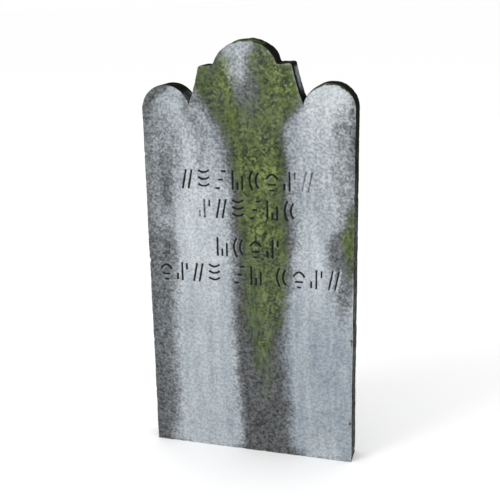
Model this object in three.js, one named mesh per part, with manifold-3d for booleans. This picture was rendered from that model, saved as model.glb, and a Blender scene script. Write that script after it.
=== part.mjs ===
// A weathered marble headstone: one upright slab with a low round lobe at each
// side and a higher crown between them, set on the flat cut where it meets the
// ground. Four centred rows of shallow V-cut strokes cross its front face.
//
// Millimetres. +X runs along the front face to the right, +Y runs from the
// front face to the back, +Z is up. The origin is the middle of the foot.

import * as THREE from "three";
import { mergeVertices } from "three/addons/utils/BufferGeometryUtils.js";
import Module from "manifold-3d";

// Slab
const STONE_WIDTH = 406;
const STONE_THICKNESS = 52;
const ARRIS_ROUND = 3;
const BURIED_ALLOWANCE = 40; // extra length below the ground, all of it cut off

// Head of the slab, from the sides to the middle
const SPRING_HEIGHT = 689; // ground to the centres of the side lobes
const LOBE_RADIUS = 48;
const NOTCH_RISE = 12; // bottom of the notch above the lobe centres
const SHOULDER_RISE = 82; // flat shoulders above the lobe centres
const SHOULDER_SPAN = 176; // across both outer shoulder corners
const SHOULDER_LEDGE = 27; // flat part of each shoulder
const SHOULDER_ROUND = 3; // outer corner, on the face inside the rounded arris
const FLARE_HOLLOW = 1.5; // dip of the side between notch and shoulder
const CROWN_RISE = 42; // top of the crown above the shoulders

// Rows of strokes
const ROW_MARGIN = 25; // from the longest row's ends to the sides of the slab
const FIRST_ROW_DROP = 112; // top of the first row below the lobe centres
const MARK_HEIGHT = 39;
const MARK_SPACE_SHARE = 0.43; // space between marks, as a share of a mark's width
const GROUP_SPACE_SHARE = 1.17; // space between groups, likewise
const STROKE_WIDTH = 5.5;
const STROKE_DEPTH = 3;

// Each row: the marks in each of its groups, and the space below it
const ROWS = [
  { groups: [8], spaceBelow: 17 },
  { groups: [6], spaceBelow: 36 },
  { groups: [4], spaceBelow: 16 },
  { groups: [4, 2, 4], spaceBelow: 0 },
];

// Fineness of the curves
const OUTLINE_STEPS = 14;
const ARRIS_STEPS = 3;
const BOWED_STROKE_STEPS = 8;
const MERGE_DISTANCE = 1e-4;
const TOOL_CLEARANCE = 1; // cutting tools stand this far out of the stone

// Places worked out from the sizes above
const halfWidth = STONE_WIDTH / 2;
const frontY = -STONE_THICKNESS / 2;
const lobeX = halfWidth - LOBE_RADIUS;
const notchAngle = Math.PI - Math.asin(NOTCH_RISE / LOBE_RADIUS);
const shoulderZ = SPRING_HEIGHT + SHOULDER_RISE;
const shoulderCorner = new THREE.Vector2(SHOULDER_SPAN / 2, shoulderZ);
const crownHalfChord = SHOULDER_SPAN / 2 - SHOULDER_LEDGE;
const crownRadius = (crownHalfChord ** 2 + CROWN_RISE ** 2) / (2 * CROWN_RISE);
const crownZ = shoulderZ + CROWN_RISE - crownRadius;

// The kinds of mark. A stroke is [from across, from up, to across, to up, bow],
// in shares of the mark's width and height; bow is the rise of a curved stroke
// to the left of its direction, as a share of its length. None is a letter.
const MARKS = {
  leaningPair: [[0.08, 0, 0.42, 1, 0], [0.58, 0, 0.92, 1, 0]],
  archOverDashes: [[0.98, 0.56, 0.02, 0.56, -0.44], [0.14, 0.32, 0.86, 0.32, 0], [0.3, 0.04, 0.7, 0.04, 0]],
  unevenPosts: [[0.1, 0, 0.1, 1, 0], [0.5, 0, 0.5, 0.42, 0], [0.9, 0, 0.9, 0.72, 0]],
  stackedHollows: [[0, 0.98, 1, 0.98, -0.22], [0, 0.64, 1, 0.64, -0.22], [0, 0.3, 1, 0.3, -0.22]],
  postBetweenTicks: [[0.5, 0, 0.5, 1, 0], [0.08, 0.04, 0.08, 0.42, 0], [0.92, 0.58, 0.92, 0.96, 0]],
  nestedBows: [[0.36, 0, 0.36, 1, 0.16], [0.84, 0.1, 0.84, 0.9, 0.18]],
  steppedDashes: [[0, 0.08, 0.46, 0.08, 0], [0.27, 0.5, 0.73, 0.5, 0], [0.54, 0.92, 1, 0.92, 0]],
};
const MARK_STRIDE = 3; // step through the kinds from one mark to the next
const ROW_STRIDE = 1; // further step at the end of a row

// Boolean joins and cuts
const library = await Module();
library.setup();

function toSolid(geometry) {
  const bare = geometry.clone();
  bare.deleteAttribute("normal");
  bare.deleteAttribute("uv");
  const merged = mergeVertices(bare, MERGE_DISTANCE);
  const mesh = new library.Mesh({
    numProp: 3,
    vertProperties: merged.getAttribute("position").array,
    triVerts: new Uint32Array(merged.getIndex().array),
  });
  return new library.Manifold(mesh);
}

function toGeometry(solid) {
  const mesh = solid.getMesh();
  const geometry = new THREE.BufferGeometry();
  geometry.setAttribute("position", new THREE.BufferAttribute(mesh.vertProperties, 3));
  geometry.setIndex(new THREE.BufferAttribute(mesh.triVerts, 1));
  geometry.computeVertexNormals();
  return geometry;
}

// Right half of the outline, from below the ground up to the crown's top
function rightOutline() {
  const notch = new THREE.Vector2(
    lobeX + LOBE_RADIUS * Math.cos(notchAngle),
    SPRING_HEIGHT + LOBE_RADIUS * Math.sin(notchAngle),
  );
  const flare = shoulderCorner.clone().sub(notch);
  const cornerRound = Math.min(SHOULDER_ROUND + ARRIS_ROUND, SHOULDER_LEDGE / 2);
  const flareTop = shoulderCorner.clone().addScaledVector(flare.clone().normalize(), -cornerRound);
  const towardsAxis = new THREE.Vector2(-flare.y, flare.x).normalize();
  const flareMiddle = notch.clone().add(flareTop).multiplyScalar(0.5);
  const flareControl = flareMiddle.addScaledVector(towardsAxis, 2 * FLARE_HOLLOW);
  const crownStart = Math.atan2(shoulderZ - crownZ, crownHalfChord);

  const path = new THREE.Path();
  path.moveTo(halfWidth, -BURIED_ALLOWANCE);
  path.lineTo(halfWidth, SPRING_HEIGHT);
  path.absarc(lobeX, SPRING_HEIGHT, LOBE_RADIUS, 0, notchAngle, false);
  path.quadraticCurveTo(flareControl.x, flareControl.y, flareTop.x, flareTop.y);
  path.quadraticCurveTo(shoulderCorner.x, shoulderZ, shoulderCorner.x - cornerRound, shoulderZ);
  path.lineTo(crownHalfChord, shoulderZ);
  path.absarc(0, crownZ, crownRadius, crownStart, Math.PI / 2, false);
  return path.getPoints(OUTLINE_STEPS);
}

// The slab with rounded arrises, upright, before the ground cut
function slab() {
  const right = rightOutline();
  const left = right.slice(0, -1).reverse().map((point) => new THREE.Vector2(-point.x, point.y));
  const geometry = new THREE.ExtrudeGeometry(new THREE.Shape([...right, ...left]), {
    depth: STONE_THICKNESS - 2 * ARRIS_ROUND,
    bevelThickness: ARRIS_ROUND,
    bevelSize: ARRIS_ROUND,
    bevelOffset: -ARRIS_ROUND,
    bevelSegments: ARRIS_STEPS,
  });
  geometry.rotateX(Math.PI / 2);
  geometry.translate(0, STONE_THICKNESS / 2 - ARRIS_ROUND, 0);
  return toSolid(geometry);
}

// Everything below the ground, as one block to cut away
function belowGround() {
  const height = BURIED_ALLOWANCE + TOOL_CLEARANCE;
  const geometry = new THREE.BoxGeometry(
    STONE_WIDTH + 2 * TOOL_CLEARANCE,
    STONE_THICKNESS + 2 * TOOL_CLEARANCE,
    height,
  );
  geometry.translate(0, 0, -height / 2);
  return toSolid(geometry);
}

// A curve on the front face for one stroke of a mark whose lower left corner
// is at (left, bottom)
function strokeCurve([fromAcross, fromUp, toAcross, toUp, bow], left, bottom, markWidth) {
  const start = new THREE.Vector2(left + fromAcross * markWidth, bottom + fromUp * MARK_HEIGHT);
  const end = new THREE.Vector2(left + toAcross * markWidth, bottom + toUp * MARK_HEIGHT);
  if (bow === 0) {
    return new THREE.LineCurve(start, end);
  }
  const along = end.clone().sub(start);
  const sideways = new THREE.Vector2(-along.y, along.x).multiplyScalar(2 * bow);
  const control = start.clone().add(end).multiplyScalar(0.5).add(sideways);
  return new THREE.QuadraticBezierCurve(start, control, end);
}

// The V-shaped tool for one stroke, with ends that slope like its sides. At
// each station along the curve it has a left edge, a right edge and a keel.
function strokeTool(curve) {
  const steps = curve.isLineCurve ? 1 : BOWED_STROKE_STEPS;
  const slope = STROKE_WIDTH / 2 / STROKE_DEPTH;
  const halfTop = STROKE_WIDTH / 2 + TOOL_CLEARANCE * slope;
  const endSlope = Math.min(STROKE_WIDTH / 2, curve.getLength() / 3);
  const positions = [];
  const triangles = [];
  for (let step = 0; step <= steps; step += 1) {
    const point = curve.getPointAt(step / steps);
    const along = curve.getTangentAt(step / steps);
    const outwards = (step === steps ? 1 : 0) - (step === 0 ? 1 : 0);
    const topShift = outwards * TOOL_CLEARANCE * slope;
    const keelShift = -outwards * endSlope;
    for (const side of [1, -1]) {
      const x = point.x + along.x * topShift - along.y * side * halfTop;
      const z = point.y + along.y * topShift + along.x * side * halfTop;
      positions.push(x, frontY - TOOL_CLEARANCE, z);
    }
    positions.push(point.x + along.x * keelShift, frontY + STROKE_DEPTH, point.y + along.y * keelShift);
  }
  for (let step = 0; step < steps; step += 1) {
    const [left, right, keel] = [3 * step, 3 * step + 1, 3 * step + 2];
    const [nextLeft, nextRight, nextKeel] = [left + 3, right + 3, keel + 3];
    triangles.push(left, right, nextRight, left, nextRight, nextLeft);
    triangles.push(left, nextLeft, nextKeel, left, nextKeel, keel);
    triangles.push(right, keel, nextKeel, right, nextKeel, nextRight);
  }
  const last = 3 * steps;
  triangles.push(0, 2, 1, last, last + 1, last + 2);
  const geometry = new THREE.BufferGeometry();
  geometry.setAttribute("position", new THREE.Float32BufferAttribute(positions, 3));
  geometry.setIndex(triangles);
  return toSolid(geometry);
}

// A row's length in mark widths
function rowLength(groups) {
  const marks = groups.reduce((sum, count) => sum + count, 0);
  const markSpaces = marks - groups.length;
  const groupSpaces = groups.length - 1;
  return marks + markSpaces * MARK_SPACE_SHARE + groupSpaces * GROUP_SPACE_SHARE;
}

// The tools of all rows, each row centred on the face
function inscriptionTools() {
  const longest = Math.max(...ROWS.map((row) => rowLength(row.groups)));
  const markWidth = (STONE_WIDTH - 2 * ROW_MARGIN) / longest;
  const kinds = Object.values(MARKS);
  const tools = [];
  let rowTop = SPRING_HEIGHT - FIRST_ROW_DROP;
  let kind = 0;
  for (const { groups, spaceBelow } of ROWS) {
    let left = (-rowLength(groups) * markWidth) / 2;
    for (const count of groups) {
      for (let mark = 0; mark < count; mark += 1) {
        for (const stroke of kinds[kind % kinds.length]) {
          tools.push(strokeTool(strokeCurve(stroke, left, rowTop - MARK_HEIGHT, markWidth)));
        }
        kind += MARK_STRIDE;
        left += markWidth * (1 + (mark < count - 1 ? MARK_SPACE_SHARE : GROUP_SPACE_SHARE));
      }
    }
    kind += ROW_STRIDE;
    rowTop -= MARK_HEIGHT + spaceBelow;
  }
  return tools;
}

function headstone() {
  const cutters = inscriptionTools().reduce((joined, tool) => joined.add(tool), belowGround());
  const marble = new THREE.MeshStandardMaterial({
    color: 0xaab0b6,
    roughness: 0.85,
    metalness: 0,
    flatShading: true,
  });
  const mesh = new THREE.Mesh(toGeometry(slab().subtract(cutters)), marble);
  mesh.name = "headstone";
  return mesh;
}

const part = new THREE.Group();
part.name = "weathered_headstone";
part.add(headstone());

export default part;
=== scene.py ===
"""A weathered marble headstone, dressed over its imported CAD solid.

The slab is one mesh: a front face and a back face triangulated inside the slab's
outline, and a strip of quads round its edge. Wear, moss relief and the rows of
cut strokes are modelled. The growth on the stone is a procedural finish that
reads densities kept on the mesh. Lengths are in millimetres until the mesh is
written, in metres, in the frame of the CAD solid.
"""

import logging
import math
from dataclasses import dataclass, field
from enum import Enum

import bpy
import numpy as np
from mathutils import Matrix, Vector, geometry, noise


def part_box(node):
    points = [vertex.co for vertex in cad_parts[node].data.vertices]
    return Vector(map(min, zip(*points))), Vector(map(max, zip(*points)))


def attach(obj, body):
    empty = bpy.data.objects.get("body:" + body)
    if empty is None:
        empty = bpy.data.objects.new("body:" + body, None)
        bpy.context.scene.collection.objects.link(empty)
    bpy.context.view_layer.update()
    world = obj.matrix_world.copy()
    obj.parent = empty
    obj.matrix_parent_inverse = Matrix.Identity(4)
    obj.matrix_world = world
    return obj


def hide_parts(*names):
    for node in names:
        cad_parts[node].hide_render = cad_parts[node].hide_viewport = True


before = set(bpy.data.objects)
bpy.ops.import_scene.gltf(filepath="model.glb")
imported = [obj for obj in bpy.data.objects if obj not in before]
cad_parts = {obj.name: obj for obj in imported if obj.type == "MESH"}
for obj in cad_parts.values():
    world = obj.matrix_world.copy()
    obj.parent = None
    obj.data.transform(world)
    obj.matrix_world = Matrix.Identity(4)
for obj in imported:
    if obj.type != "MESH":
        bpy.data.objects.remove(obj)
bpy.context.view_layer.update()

LOG = logging.getLogger("headstone")
METRES = 0.001
NODE = "headstone"
BODY = "root"

Colour = tuple[int, int, int]
Faces = list[tuple[int, ...]]
Socket = bpy.types.NodeSocket
Value = Socket | float | tuple[float, ...]


def smooth_step(low: float, high: float, value: np.ndarray) -> np.ndarray:
    """Rise smoothly from 0 at low to 1 at high.

    Args:
        low: Where the rise begins.
        high: Where the rise ends, which may be below low.
        value: The places to read.

    Returns:
        Values from 0 to 1.
    """
    share = np.clip((value - low) / (high - low), 0.0, 1.0)
    return share * share * (3.0 - 2.0 * share)


def wander(points: np.ndarray, size: float, seed: float) -> np.ndarray:
    """Read smooth noise at many points.

    Args:
        points: Places in millimetres, one row each.
        size: Size of the noise's features in millimetres.
        seed: Shift that gives each use its own pattern.

    Returns:
        Values from about -1 to 1.
    """
    scaled = points / size + seed
    return np.array([noise.noise(Vector(row)) for row in scaled.tolist()])


def bend(start: np.ndarray, control: np.ndarray, end: np.ndarray, steps: int) -> np.ndarray:
    """Trace a curve from start to end that leans to a control point.

    Args:
        start: First point.
        control: Point that the curve leans to.
        end: Last point.
        steps: Number of steps along it.

    Returns:
        Points along the curve.
    """
    t = np.linspace(0.0, 1.0, steps + 1)[:, None]
    return start * (1 - t) ** 2 + control * 2 * t * (1 - t) + end * t**2


def on_face(places: np.ndarray, y: float) -> np.ndarray:
    """Lift places of a face into space.

    Args:
        places: Rows of across and up.
        y: The face's y.

    Returns:
        The points.
    """
    return np.column_stack([places[:, 0], np.full(len(places), y), places[:, 1]])


def linear(colour: Colour) -> tuple[float, ...]:
    """Turn a colour as seen on a screen into the shader's linear colour.

    Args:
        colour: Red, green and blue from 0 to 255.

    Returns:
        Linear red, green and blue, and an alpha of 1.
    """
    shares = (channel / 255.0 for channel in colour)
    return (*(s / 12.92 if s <= 0.04045 else ((s + 0.055) / 1.055) ** 2.4 for s in shares), 1.0)


@dataclass(frozen=True)
class Sizes:
    """The slab's sizes in millimetres, as in its solid."""

    width: float
    thickness: float
    height: float
    spring_height: float = 689.0
    lobe_radius: float = 48.0
    notch_rise: float = 12.0
    shoulder_rise: float = 82.0
    shoulder_span: float = 176.0
    shoulder_ledge: float = 27.0
    shoulder_round: float = 6.0
    flare_hollow: float = 1.5
    arris_round: float = 3.0
    foot_round: float = 0.6

    @classmethod
    def from_frame(cls) -> "Sizes":
        """Take width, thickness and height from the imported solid's box."""
        low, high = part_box(NODE)
        width, thickness, height = (high - low) / METRES
        return cls(width, thickness, height)

    @property
    def half_width(self) -> float:
        """Half the slab's width."""
        return self.width / 2

    @property
    def front(self) -> float:
        """Y of the front face."""
        return -self.thickness / 2

    @property
    def shoulder_height(self) -> float:
        """Height of the flat shoulders."""
        return self.spring_height + self.shoulder_rise

    @property
    def crown_half_chord(self) -> float:
        """Half the crown's width where it stands on the shoulders."""
        return self.shoulder_span / 2 - self.shoulder_ledge

    @property
    def crown_radius(self) -> float:
        """Radius of the crown's arc."""
        rise = self.height - self.shoulder_height
        return (self.crown_half_chord**2 + rise**2) / (2 * rise)


@dataclass
class Outline:
    """The slab's outline as a closed loop, anticlockwise seen from the front."""

    sizes: Sizes
    spacing: float = 2.6
    arc_steps: int = 60
    bend_steps: int = 12
    corner_turn: float = 0.5
    least_spread: float = 0.45
    side_wander: float = 0.9
    wander_size: float = 70.0
    wander_bias: float = 0.6
    nibble: float = 0.35
    nibble_size: float = 9.0
    points: np.ndarray = field(init=False)
    outward: np.ndarray = field(init=False)
    foot: np.ndarray = field(init=False)

    def __post_init__(self) -> None:
        """Lay out the loop and find which way is outward at each point."""
        right = self._even(self._right_half())
        left = right[::-1][1:] * [-1.0, 1.0]
        foot_steps = round(self.sizes.width / self.spacing)
        half = self.sizes.half_width
        foot = np.linspace([-half, 0.0], [half, 0.0], foot_steps + 1)[1:-1]
        self.points = np.concatenate([right, left, foot])
        self.foot = np.arange(len(self.points)) >= len(right) + len(left)
        self._wear()
        self.outward = self._outward()

    @property
    def grounded(self) -> np.ndarray:
        """True for each point on the ground."""
        return self.points[:, 1] == 0.0

    def _right_half(self) -> np.ndarray:
        """Trace the right half exactly, from the foot to the crown's top.

        Returns:
            Points of the trace, one row of across and up each.
        """
        s = self.sizes
        lobe = np.array([s.half_width - s.lobe_radius, s.spring_height])
        notch_turn = math.pi - math.asin(s.notch_rise / s.lobe_radius)
        corner = np.array([s.shoulder_span / 2, s.shoulder_height])
        crown = np.array([0.0, s.height - s.crown_radius])
        crown_turn = math.atan2(corner[1] - crown[1], s.crown_half_chord)
        lobe_arc = self._arc(lobe, s.lobe_radius, 0.0, notch_turn)
        notch = lobe_arc[-1]
        lean = (corner - notch) / np.linalg.norm(corner - notch)
        flare_top = corner - lean * s.shoulder_round
        dip = np.array([-lean[1], lean[0]]) * 2 * s.flare_hollow
        ledge = corner - [s.shoulder_round, 0.0]
        flare = bend(notch, (notch + flare_top) / 2 + dip, flare_top, self.bend_steps)
        rounding = bend(flare_top, corner, ledge, self.bend_steps)
        crown_arc = self._arc(crown, s.crown_radius, crown_turn, math.pi / 2)
        return np.concatenate([[[s.half_width, 0.0]], lobe_arc, flare[1:], rounding[1:], crown_arc])

    def _arc(self, centre: np.ndarray, radius: float, start: float, end: float) -> np.ndarray:
        """Trace an arc.

        Args:
            centre: Its centre.
            radius: Its radius.
            start: Angle it starts at, in radians.
            end: Angle it ends at, in radians.

        Returns:
            Points along the arc.
        """
        turn = np.linspace(start, end, self.arc_steps + 1)
        return centre + radius * np.stack([np.cos(turn), np.sin(turn)], 1)

    def _even(self, trace: np.ndarray) -> np.ndarray:
        """Space points evenly along a trace, and keep its corners.

        Args:
            trace: The exact trace.

        Returns:
            The trace with about one point every spacing.
        """
        steps = np.diff(trace, axis=0)
        heading = np.arctan2(steps[:, 1], steps[:, 0])
        turns = np.abs((np.diff(heading) + math.pi) % (2 * math.pi) - math.pi)
        corners = [0, *(np.flatnonzero(turns > self.corner_turn) + 1), len(trace) - 1]
        along = np.concatenate([[0.0], np.cumsum(np.linalg.norm(steps, axis=1))])
        kept = [trace[:1]]
        for first, last in zip(corners[:-1], corners[1:]):
            count = max(2, round((along[last] - along[first]) / self.spacing))
            at = np.linspace(along[first], along[last], count + 1)[1:]
            kept.append(np.stack([np.interp(at, along, trace[:, k]) for k in (0, 1)], 1))
        return np.concatenate(kept)

    def _wear(self) -> None:
        """Let the edge wander a little inside the true outline, but not at the foot."""
        spots = on_face(self.points, 0.0)
        slow = (wander(spots, self.wander_size, 3.1) - self.wander_bias) * self.side_wander
        quick = wander(spots, self.nibble_size, 8.4) * self.nibble
        shift = np.where(self.foot, 0.0, np.minimum(slow + quick, 0.0))
        self.points = self.points + self._outward() * shift[:, None]
        self.points[self.points[:, 1] < self.spacing / 2, 1] = 0.0

    def _outward(self) -> np.ndarray:
        """Find the outward direction at each point, longer where the loop turns sharply.

        Returns:
            One row per point. Moving each by the same share keeps the edges parallel.
        """
        ahead = np.roll(self.points, -1, axis=0) - self.points
        ahead /= np.linalg.norm(ahead, axis=1)[:, None]
        behind = np.roll(ahead, 1, axis=0)
        both = np.stack([ahead[:, 1] + behind[:, 1], -ahead[:, 0] - behind[:, 0]], 1)
        both /= np.linalg.norm(both, axis=1)[:, None]
        spread = np.sum(both * np.stack([ahead[:, 1], -ahead[:, 0]], 1), axis=1)
        return both / np.maximum(spread, self.least_spread)[:, None]

    def inset(self, amount: float, foot_amount: float) -> np.ndarray:
        """Move the loop inward.

        Args:
            amount: How far, on the sides and the head.
            foot_amount: How far, along the foot.

        Returns:
            The moved points.
        """
        moved = self.points - self.outward * amount
        low = self.grounded
        moved[low, 0] = self.points[low, 0] * (self.sizes.half_width - amount) / self.sizes.half_width
        moved[low, 1] = foot_amount
        return moved


class Mark(Enum):
    """Kinds of cut mark. None of them is a letter.

    A stroke is (from across, from up, to across, to up, bow) in shares of the
    mark's width and height. The bow is the rise of a curved stroke to the left
    of its direction, as a share of its length.
    """

    LEANING_PAIR = ((0.08, 0, 0.42, 1, 0), (0.58, 0, 0.92, 1, 0))
    ARCH_OVER_DASHES = (
        (0.98, 0.56, 0.02, 0.56, -0.44),
        (0.14, 0.32, 0.86, 0.32, 0),
        (0.3, 0.04, 0.7, 0.04, 0),
    )
    UNEVEN_POSTS = ((0.1, 0, 0.1, 1, 0), (0.5, 0, 0.5, 0.42, 0), (0.9, 0, 0.9, 0.72, 0))
    STACKED_HOLLOWS = ((0, 0.98, 1, 0.98, -0.22), (0, 0.64, 1, 0.64, -0.22), (0, 0.3, 1, 0.3, -0.22))
    POST_BETWEEN_TICKS = (
        (0.5, 0, 0.5, 1, 0),
        (0.08, 0.04, 0.08, 0.42, 0),
        (0.92, 0.58, 0.92, 0.96, 0),
    )
    NESTED_BOWS = ((0.36, 0, 0.36, 1, 0.16), (0.84, 0.1, 0.84, 0.9, 0.18))
    STEPPED_DASHES = ((0, 0.08, 0.46, 0.08, 0), (0.27, 0.5, 0.73, 0.5, 0), (0.54, 0.92, 1, 0.92, 0))


@dataclass(frozen=True)
class Row:
    """One row of marks: how many in each group, and the space below the row."""

    groups: tuple[int, ...]
    space_below: float


@dataclass(frozen=True)
class Groove:
    """One cut stroke on the front face."""

    start: np.ndarray
    end: np.ndarray
    bow: float
    width: float = 5.5
    depth: float = 3.0

    def path(self, steps: int = 40) -> np.ndarray:
        """Trace the middle of the stroke.

        Args:
            steps: Number of steps along it.

        Returns:
            Points on the face, one row of across and up each.
        """
        across, up = self.end - self.start
        control = (self.start + self.end) / 2 + np.array([-up, across]) * 2 * self.bow
        return bend(self.start, control, self.end, steps)


@dataclass(frozen=True)
class FacePoints:
    """Points on the front face: places, groove depth, share of it, and lower lip, which gets a painted
    highlight.
    """

    places: np.ndarray
    depths: np.ndarray
    shares: np.ndarray
    lips: np.ndarray

    @classmethod
    def plain(cls, places: np.ndarray) -> "FacePoints":
        """Take points that no groove touches."""
        return cls(places, *np.zeros((3, len(places))))

    @classmethod
    def joined(cls, groups: list["FacePoints"]) -> "FacePoints":
        """Put groups of points one after another.

        Args:
            groups: The groups.

        Returns:
            All their points.
        """
        names = ("places", "depths", "shares", "lips")
        return cls(*(np.concatenate([getattr(group, name) for group in groups]) for name in names))


@dataclass
class Inscription:
    """The rows of shallow strokes on the front face."""

    sizes: Sizes
    rows: tuple[Row, ...] = (Row((8,), 17.0), Row((6,), 36.0), Row((4,), 16.0), Row((4, 2, 4), 0.0))
    margin: float = 25.0
    first_row_drop: float = 112.0
    mark_height: float = 39.0
    mark_space: float = 0.43
    group_space: float = 1.17
    mark_stride: int = 3
    row_stride: int = 1
    step: float = 1.35
    lanes: tuple[float, ...] = (-1.42, -1.0, -0.52, 0.0, 0.52, 1.0, 1.42)
    end_lead: float = 0.4
    end_narrowing: float = 0.7
    unsteadiness: float = 0.16
    rounding: float = 0.03
    lip_lane: float = 0.5
    lip_way: tuple[float, float] = (0.7, -0.7)

    def _row_length(self, row: Row) -> float:
        """Measure a row in mark widths."""
        spaces = (sum(row.groups) - len(row.groups)) * self.mark_space
        return sum(row.groups) + spaces + (len(row.groups) - 1) * self.group_space

    def grooves(self) -> list[Groove]:
        """Lay out every stroke.

        Returns:
            The strokes, row by row.
        """
        usable = self.sizes.width - 2 * self.margin
        mark_width = usable / max(self._row_length(row) for row in self.rows)
        kinds = list(Mark)
        kind = 0
        top = self.sizes.spring_height - self.first_row_drop
        made = []
        for row in self.rows:
            left = -self._row_length(row) * mark_width / 2
            for count in row.groups:
                for place in range(count):
                    corner = np.array([left, top - self.mark_height])
                    scale = np.array([mark_width, self.mark_height])
                    for x0, z0, x1, z1, bow in kinds[kind % len(kinds)].value:
                        made.append(Groove(corner + [x0, z0] * scale, corner + [x1, z1] * scale, bow))
                    kind += self.mark_stride
                    last = place == count - 1
                    left += mark_width * (1 + (self.group_space if last else self.mark_space))
            kind += self.row_stride
            top -= self.mark_height + row.space_below
        return made

    def groove_points(self, groove: Groove) -> FacePoints:
        """Lay points along and across one groove, deep in the middle and worn at the lips.

        Args:
            groove: The stroke.

        Returns:
            The groove's points.
        """
        path = groove.path()
        lengths = np.concatenate([[0.0], np.cumsum(np.linalg.norm(np.diff(path, axis=0), axis=1))])
        total = lengths[-1]
        half = groove.width / 2
        inner = np.linspace(half, total - half, max(2, round((total - 2 * half) / self.step)) + 1)
        lead = self.end_lead * half
        at = np.concatenate([[-lead, 0.0, half / 2], inner, [total - half / 2, total, total + lead]])
        middle = np.stack([np.interp(at, lengths, path[:, k]) for k in (0, 1)], 1)
        heading = np.gradient(path, lengths, axis=0)
        ahead = np.stack([np.interp(at, lengths, heading[:, k]) for k in (0, 1)], 1)
        ahead /= np.linalg.norm(ahead, axis=1)[:, None]
        middle += ahead * (np.minimum(at, 0.0) + np.maximum(at - total, 0.0))[:, None]
        sideways = np.stack([-ahead[:, 1], ahead[:, 0]], 1)
        unsteady = 1.0 + self.unsteadiness * wander(on_face(middle, 0.0), 4.0, 5.5)
        narrow = np.where((at < 0.0) | (at > total), self.end_narrowing, 1.0)
        end_share = np.clip(np.minimum(at, total - at) / half, 0.0, 1.0)
        lanes = []
        for lane in self.lanes:
            places = middle + sideways * (lane * half * unsteady * narrow)[:, None]
            share = np.minimum(min(1.0 - abs(lane) + self.rounding, 1.0), end_share) * (abs(lane) <= 1.0)
            # The lower right lips face the light, and are later painted paler as a highlight
            low_right = np.clip(sideways @ self.lip_way * np.sign(lane), 0.0, 1.0)
            lip = low_right * (abs(lane) > self.lip_lane)
            lanes.append(FacePoints(places, share * groove.depth, share, lip))
        return FacePoints.joined(lanes)


class Growth(Enum):
    """What the mesh keeps densities of, by the name of its attribute."""

    ALGAE = "algae"
    MOSS = "moss"
    LIME = "lime"
    BLEACH = "bleach"
    CRUST = "crust"
    RUST = "rust"
    # Dirt and painted shade in the grooves
    CUT = "cut"


@dataclass(frozen=True)
class Run:
    """A soft-edged run of growth or staining down a face.

    A station is (height, left edge, right edge, strength). The soft sizes are the
    widths over which the edges fade, and ragged is how far the edges stray.
    """

    stations: tuple[tuple[float, float, float, float], ...]
    soft: float = 30
    soft_right: float | None = None
    ragged: float = 7

    def density(self, places: np.ndarray, drift: np.ndarray) -> np.ndarray:
        """Find how dense the run is at each place.

        Args:
            places: Rows of across and up on the face.
            drift: Smooth noise at the same places, which makes the edges ragged.

        Returns:
            Densities from 0 to 1.
        """
        heights, lefts, rights, strengths = np.array(sorted(self.stations), float).T
        across = places[:, 0] + drift * self.ragged
        up = places[:, 1]
        from_left = (across - np.interp(up, heights, lefts)) / self.soft
        from_right = (np.interp(up, heights, rights) - across) / (self.soft_right or self.soft)
        inside = (up >= heights[0]) & (up <= heights[-1])
        strength = np.interp(up, heights, strengths) * inside
        return strength * smooth_step(-0.5, 0.5, from_left) * smooth_step(-0.5, 0.5, from_right)


# Places past the left and right edges of the slab
LEFT = -230
RIGHT = 230

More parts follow.
